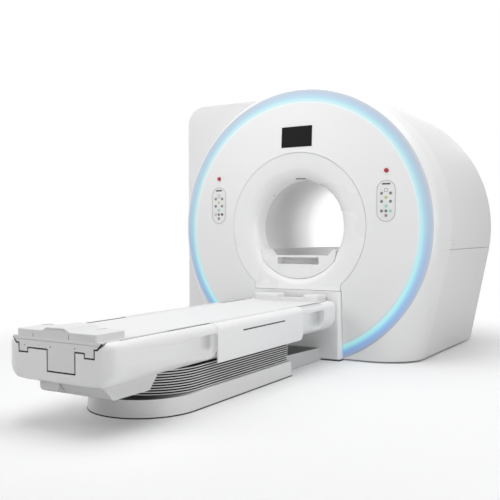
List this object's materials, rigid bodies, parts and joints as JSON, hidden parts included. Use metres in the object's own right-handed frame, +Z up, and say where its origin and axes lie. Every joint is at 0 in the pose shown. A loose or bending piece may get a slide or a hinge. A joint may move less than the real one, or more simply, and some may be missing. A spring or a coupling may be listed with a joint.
{
  "type": "mri scanner",
  "caption": "Magnetic resonance scanner: a round gantry with a light ring and a patient bore, and a patient couch that rises on a telescopic column inside a pleated skirt.",
  "frame": {"origin": "on the floor, straight below the centre of the magnet, in the middle of its floor anchors", "axes": "+Z up, +Y from the foot of the couch towards the back of the gantry, +X to the right of someone facing the bore"},
  "size_m": [2.3899, 4.006, 2.0778],
  "materials": {
    "cover_white": "smooth moulded cover, soft gloss",
    "cover_side": "painted moulded cover, satin",
    "funnel_white": "smooth moulded funnel, soft gloss",
    "ring_blue": "lit translucent light guide",
    "liner_grey": "satin liner",
    "bridge_grey": "satin moulding",
    "vessel_steel": "painted stainless vessel",
    "coil_resin": "cast resin",
    "foot_steel": "painted steel",
    "display_black": "black glass, glossy",
    "panel_grey": "silver-grey foil, satin",
    "button_grey": "satin button",
    "button_dark": "satin button",
    "button_yellow": "satin button",
    "button_green": "satin button",
    "stop_red": "glossy stop button",
    "base_white": "painted cover, satin",
    "column_steel": "ground steel tube",
    "couch_white": "smooth moulded cover, soft gloss",
    "side_panel_white": "smooth moulded panel, soft gloss",
    "bellows_grey": "pleated skirt, matt",
    "frame_aluminium": "extruded beams",
    "table_white": "composite shell, satin",
    "block_grey": "moulded block, satin",
    "motor_dark": "painted motor"
  },
  "bodies": {
    "scanner": {"front_cover": "cover_white", "light_ring": "ring_blue", "funnel_cover": "funnel_white", "column_cover": "cover_white", "bridge_cap": "bridge_grey", "bridge_bed": "bridge_grey", "bore_liner": "liner_grey", "front_collar": "cover_side", "upper_wrap_cover": "cover_side", "right_side_cover": "cover_side", "left_side_cover": "cover_side", "service_upper_cover": "cover_side", "service_lower_cover": "cover_side", "rear_cover": "cover_white", "magnet_vessel": "vessel_steel", "gradient_coil": "coil_resin", "body_coil": "coil_resin", "magnet_foot_front": "foot_steel", "magnet_foot_rear": "foot_steel", "display_screen": "display_black", "control_panel_right": "panel_grey", "control_panel_left": "panel_grey", "couch_base_cover": "base_white", "couch_wedge_cover": "base_white", "couch_base_plate": "foot_steel", "lift_column_outer": "column_steel", "lift_motor": "motor_dark", "bellows": "bellows_grey"},
    "lift_middle_stage": {"lift_column_middle": "column_steel"},
    "couch": {"couch_body": "couch_white", "couch_side_panel_right": "side_panel_white", "couch_side_panel_left": "side_panel_white", "foot_pan": "couch_white", "couch_frame": "frame_aluminium", "lift_column_inner": "column_steel"},
    "tabletop": {"tabletop": "table_white", "foot_block": "block_grey", "coil_dock": "block_grey"},
    "button_table_up_left": {"button_table_up_left": "button_grey"},
    "button_table_down_left": {"button_table_down_left": "button_grey"},
    "button_lamp_left": {"button_lamp_left": "button_yellow"},
    "button_table_in_left": {"button_table_in_left": "button_grey"},
    "button_table_out_left": {"button_table_out_left": "button_grey"},
    "button_centre_left": {"button_centre_left": "button_green"},
    "button_fan_left": {"button_fan_left": "button_grey"},
    "button_reset_left": {"button_reset_left": "button_grey"},
    "button_home_left": {"button_home_left": "button_dark"},
    "button_release_left": {"button_release_left": "button_grey"},
    "stop_button_left": {"stop_button_left": "stop_red"},
    "button_table_up_right": {"button_table_up_right": "button_grey"},
    "button_table_down_right": {"button_table_down_right": "button_grey"},
    "button_lamp_right": {"button_lamp_right": "button_yellow"},
    "button_table_in_right": {"button_table_in_right": "button_grey"},
    "button_table_out_right": {"button_table_out_right": "button_grey"},
    "button_centre_right": {"button_centre_right": "button_green"},
    "button_fan_right": {"button_fan_right": "button_grey"},
    "button_reset_right": {"button_reset_right": "button_grey"},
    "button_home_right": {"button_home_right": "button_green"},
    "button_release_right": {"button_release_right": "button_grey"},
    "stop_button_right": {"stop_button_right": "stop_red"}
  },
  "joints": [
    {"name": "couch_lift", "type": "slide", "parent": "scanner", "child": "couch", "axis": [0, 0, 1], "range_m": [0, 0.404], "deforming": ["bellows"]},
    {"name": "lift_middle_slide", "type": "slide", "parent": "scanner", "child": "lift_middle_stage", "axis": [0, 0, 1], "range_m": [0, 0.202]},
    {"name": "tabletop_slide", "type": "slide", "parent": "couch", "child": "tabletop", "axis": [0, 1, 0], "range_m": [0, 0.036]},
    {"name": "button_table_up_left_press", "type": "slide", "parent": "scanner", "child": "button_table_up_left", "axis": [0, 1, 0], "range_m": [0, 0.0012], "stiffness_N_per_m": 600, "springref_m": -0.0008},
    {"name": "button_table_down_left_press", "type": "slide", "parent": "scanner", "child": "button_table_down_left", "axis": [0, 1, 0], "range_m": [0, 0.0012], "stiffness_N_per_m": 600, "springref_m": -0.0008},
    {"name": "button_lamp_left_press", "type": "slide", "parent": "scanner", "child": "button_lamp_left", "axis": [0, 1, 0], "range_m": [0, 0.0012], "stiffness_N_per_m": 600, "springref_m": -0.0008},
    {"name": "button_table_in_left_press", "type": "slide", "parent": "scanner", "child": "button_table_in_left", "axis": [0, 1, 0], "range_m": [0, 0.0012], "stiffness_N_per_m": 600, "springref_m": -0.0008},
    {"name": "button_table_out_left_press", "type": "slide", "parent": "scanner", "child": "button_table_out_left", "axis": [0, 1, 0], "range_m": [0, 0.0012], "stiffness_N_per_m": 600, "springref_m": -0.0008},
    {"name": "button_centre_left_press", "type": "slide", "parent": "scanner", "child": "button_centre_left", "axis": [0, 1, 0], "range_m": [0, 0.0012], "stiffness_N_per_m": 600, "springref_m": -0.0008},
    {"name": "button_fan_left_press", "type": "slide", "parent": "scanner", "child": "button_fan_left", "axis": [0, 1, 0], "range_m": [0, 0.0012], "stiffness_N_per_m": 600, "springref_m": -0.0008},
    {"name": "button_reset_left_press", "type": "slide", "parent": "scanner", "child": "button_reset_left", "axis": [0, 1, 0], "range_m": [0, 0.0012], "stiffness_N_per_m": 600, "springref_m": -0.0008},
    {"name": "button_home_left_press", "type": "slide", "parent": "scanner", "child": "button_home_left", "axis": [0, 1, 0], "range_m": [0, 0.0012], "stiffness_N_per_m": 600, "springref_m": -0.0008},
    {"name": "button_release_left_press", "type": "slide", "parent": "scanner", "child": "button_release_left", "axis": [0, 1, 0], "range_m": [0, 0.0012], "stiffness_N_per_m": 600, "springref_m": -0.0008},
    {"name": "stop_button_left_press", "type": "slide", "parent": "scanner", "child": "stop_button_left", "axis": [0, 1, 0], "range_m": [0, 0.003], "stiffness_N_per_m": 600, "springref_m": -0.0008},
    {"name": "button_table_up_right_press", "type": "slide", "parent": "scanner", "child": "button_table_up_right", "axis": [0, 1, 0], "range_m": [0, 0.0012], "stiffness_N_per_m": 600, "springref_m": -0.0008},
    {"name": "button_table_down_right_press", "type": "slide", "parent": "scanner", "child": "button_table_down_right", "axis": [0, 1, 0], "range_m": [0, 0.0012], "stiffness_N_per_m": 600, "springref_m": -0.0008},
    {"name": "button_lamp_right_press", "type": "slide", "parent": "scanner", "child": "button_lamp_right", "axis": [0, 1, 0], "range_m": [0, 0.0012], "stiffness_N_per_m": 600, "springref_m": -0.0008},
    {"name": "button_table_in_right_press", "type": "slide", "parent": "scanner", "child": "button_table_in_right", "axis": [0, 1, 0], "range_m": [0, 0.0012], "stiffness_N_per_m": 600, "springref_m": -0.0008},
    {"name": "button_table_out_right_press", "type": "slide", "parent": "scanner", "child": "button_table_out_right", "axis": [0, 1, 0], "range_m": [0, 0.0012], "stiffness_N_per_m": 600, "springref_m": -0.0008},
    {"name": "button_centre_right_press", "type": "slide", "parent": "scanner", "child": "button_centre_right", "axis": [0, 1, 0], "range_m": [0, 0.0012], "stiffness_N_per_m": 600, "springref_m": -0.0008},
    {"name": "button_fan_right_press", "type": "slide", "parent": "scanner", "child": "button_fan_right", "axis": [0, 1, 0], "range_m": [0, 0.0012], "stiffness_N_per_m": 600, "springref_m": -0.0008},
    {"name": "button_reset_right_press", "type": "slide", "parent": "scanner", "child": "button_reset_right", "axis": [0, 1, 0], "range_m": [0, 0.0012], "stiffness_N_per_m": 600, "springref_m": -0.0008},
    {"name": "button_home_right_press", "type": "slide", "parent": "scanner", "child": "button_home_right", "axis": [0, 1, 0], "range_m": [0, 0.0012], "stiffness_N_per_m": 600, "springref_m": -0.0008},
    {"name": "button_release_right_press", "type": "slide", "parent": "scanner", "child": "button_release_right", "axis": [0, 1, 0], "range_m": [0, 0.0012], "stiffness_N_per_m": 600, "springref_m": -0.0008},
    {"name": "stop_button_right_press", "type": "slide", "parent": "scanner", "child": "stop_button_right", "axis": [0, 1, 0], "range_m": [0, 0.003], "stiffness_N_per_m": 600, "springref_m": -0.0008}
  ],
  "couplings": [
    {"joint": "lift_middle_slide", "follows": "couch_lift", "ratio": 0.5}
  ]
}
